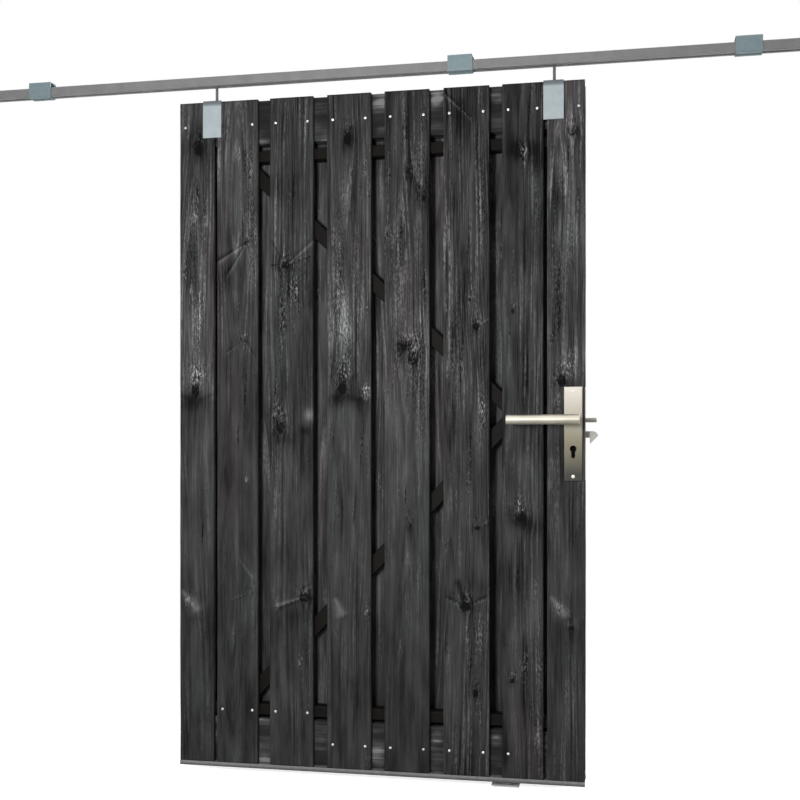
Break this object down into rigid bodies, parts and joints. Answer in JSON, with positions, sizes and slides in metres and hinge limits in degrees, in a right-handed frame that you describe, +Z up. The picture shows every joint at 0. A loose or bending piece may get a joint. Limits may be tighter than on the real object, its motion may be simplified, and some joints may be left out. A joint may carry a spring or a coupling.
{
  "type": "sliding barn door",
  "caption": "Sliding barn door leaf of dark vertical boards on a tube frame, hung by trolleys from a slotted rail, with lever, hook lock and floor guide.",
  "frame": {"origin": "centre of the two fixing holes on the top face of the second rail bracket from the left", "axes": "+X along the rail towards the side on which the leaf closes, +Y to the back of the leaf, +Z up"},
  "size_m": [2.7, 0.219, 1.919],
  "materials": {
    "boards": "black stain on sawn boards",
    "battens": "dark stain",
    "frame_tubes": "grey powder coat",
    "channel": "mill finish",
    "screws": "stainless",
    "rail": "galvanised",
    "brackets": "galvanised",
    "hangers": "galvanised",
    "bolts": "zinc plated",
    "trolleys": "zinc plated",
    "wheels": "nylon",
    "stops": "mill finish",
    "buffers": "rubber",
    "guide": "zinc plated",
    "lock": "zinc plated",
    "stainless": "brushed stainless steel"
  },
  "bodies": {
    "rail_frame": {"floor_guide_plate": "guide", "rail": "rail", "rail_bracket_1": "brackets", "rail_bracket_2": "brackets", "rail_bracket_3": "brackets", "rail_bracket_4": "brackets", "rail_stops": "stops", "stop_buffers": "buffers"},
    "door": {"back_board_1": "boards", "back_board_2": "boards", "back_board_3": "boards", "back_board_4": "boards", "back_board_5": "boards", "back_board_6": "boards", "back_board_7": "boards", "board_screws": "screws", "bottom_batten": "battens", "bottom_channel": "channel", "bottom_tube": "frame_tubes", "faceplate_screws": "screws", "front_board_1": "boards", "front_board_2": "boards", "front_board_3": "boards", "front_board_4": "boards", "front_board_5": "boards", "front_board_6": "boards", "front_board_7": "boards", "front_board_8": "boards", "hanger_bolts": "bolts", "hanger_nuts": "bolts", "hanger_saddle_left": "hangers", "hanger_saddle_right": "hangers", "left_stile": "frame_tubes", "lift_pin": "stainless", "lock_case": "lock", "lock_faceplate": "stainless", "lock_stile": "frame_tubes", "lock_tube": "frame_tubes", "lower_brace": "frame_tubes", "plate_bolts": "screws", "plate_front": "stainless", "plate_rear": "stainless", "saddle_screws": "screws", "top_batten": "battens", "top_tube": "frame_tubes", "trolley_axles": "bolts", "trolley_left": "trolleys", "trolley_right": "trolleys", "upper_brace": "frame_tubes"},
    "handle": {"lever_front": "stainless", "lever_rear": "stainless", "spindle": "lock", "lock_follower": "lock"},
    "hook": {"hook": "lock"},
    "guide_roller_1": {"guide_roller_1": "wheels"},
    "guide_roller_2": {"guide_roller_2": "wheels"},
    "wheels_left_lead": {"wheels_left_lead": "wheels"},
    "wheels_left_rear": {"wheels_left_rear": "wheels"},
    "wheels_right_lead": {"wheels_right_lead": "wheels"},
    "wheels_right_rear": {"wheels_right_rear": "wheels"}
  },
  "joints": [
    {"name": "door_slide", "type": "slide", "parent": "rail_frame", "child": "door", "axis": [1, 0, 0], "range_m": [-0.14, 0.83]},
    {"name": "wheels_left_rear_roll", "type": "hinge", "parent": "door", "child": "wheels_left_rear", "pos_m": [-0.706, 0, -0.0289], "axis": [0, 1, 0], "continuous": true},
    {"name": "wheels_left_lead_roll", "type": "hinge", "parent": "door", "child": "wheels_left_lead", "pos_m": [-0.65, 0, -0.0289], "axis": [0, 1, 0], "continuous": true},
    {"name": "wheels_right_rear_roll", "type": "hinge", "parent": "door", "child": "wheels_right_rear", "pos_m": [0.218, 0, -0.0289], "axis": [0, 1, 0], "continuous": true},
    {"name": "wheels_right_lead_roll", "type": "hinge", "parent": "door", "child": "wheels_right_lead", "pos_m": [0.274, 0, -0.0289], "axis": [0, 1, 0], "continuous": true},
    {"name": "lever_turn", "type": "hinge", "parent": "door", "child": "handle", "pos_m": [0.296, 0, -0.965], "axis": [0, -1, 0], "range_deg": [0, 40], "stiffness_Nm_per_rad": 1.2, "springref_deg": -68.75},
    {"name": "hook_turn", "type": "hinge", "parent": "door", "child": "hook", "pos_m": [0.284, 0, -1.002], "axis": [0, -1, 0], "range_deg": [0, 18]},
    {"name": "guide_roller_1_turn", "type": "hinge", "parent": "rail_frame", "child": "guide_roller_1", "pos_m": [0.1035, 0, -1.901], "axis": [0, 0, 1], "continuous": true},
    {"name": "guide_roller_2_turn", "type": "hinge", "parent": "rail_frame", "child": "guide_roller_2", "pos_m": [0.1365, 0, -1.901], "axis": [0, 0, 1], "continuous": true}
  ],
  "couplings": [
    {"joint": "wheels_left_rear_roll", "follows": "door_slide", "rad_per_m": 100},
    {"joint": "wheels_left_lead_roll", "follows": "door_slide", "rad_per_m": 100},
    {"joint": "wheels_right_rear_roll", "follows": "door_slide", "rad_per_m": 100},
    {"joint": "wheels_right_lead_roll", "follows": "door_slide", "rad_per_m": 100},
    {"joint": "hook_turn", "follows": "lever_turn", "ratio": 0.45}
  ]
}
